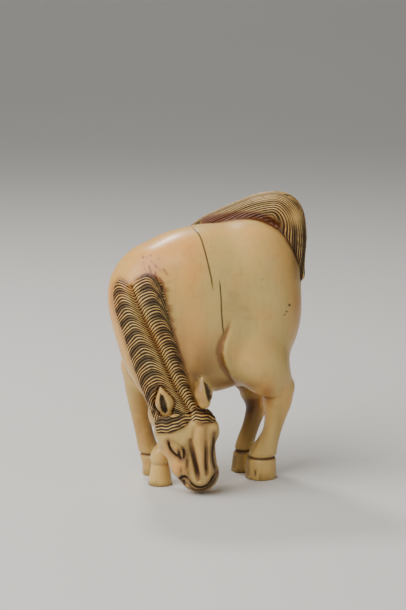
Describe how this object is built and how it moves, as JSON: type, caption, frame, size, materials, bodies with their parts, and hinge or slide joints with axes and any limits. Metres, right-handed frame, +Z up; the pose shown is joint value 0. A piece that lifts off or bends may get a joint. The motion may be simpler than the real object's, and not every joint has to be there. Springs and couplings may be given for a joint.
{
  "type": "horse netsuke",
  "caption": "Small carved toggle in the form of a grazing horse, its neck bent down, head turned to its left, mane parted over the crest and tail swept over the croup.",
  "frame": {"origin": "under the middle of the carving's bounding box, on the plane of the hoof soles", "axes": "+Z up from the soles; the chest faces -X and the rump +X; the horse's left side and its head are towards -Y"},
  "size_m": [0.0432, 0.027, 0.0615],
  "materials": {
    "ivory": "polished, with dark stain in the carved lines"
  },
  "bodies": {
    "root": {"grazing_horse": "ivory"}
  },
  "joints": []
}
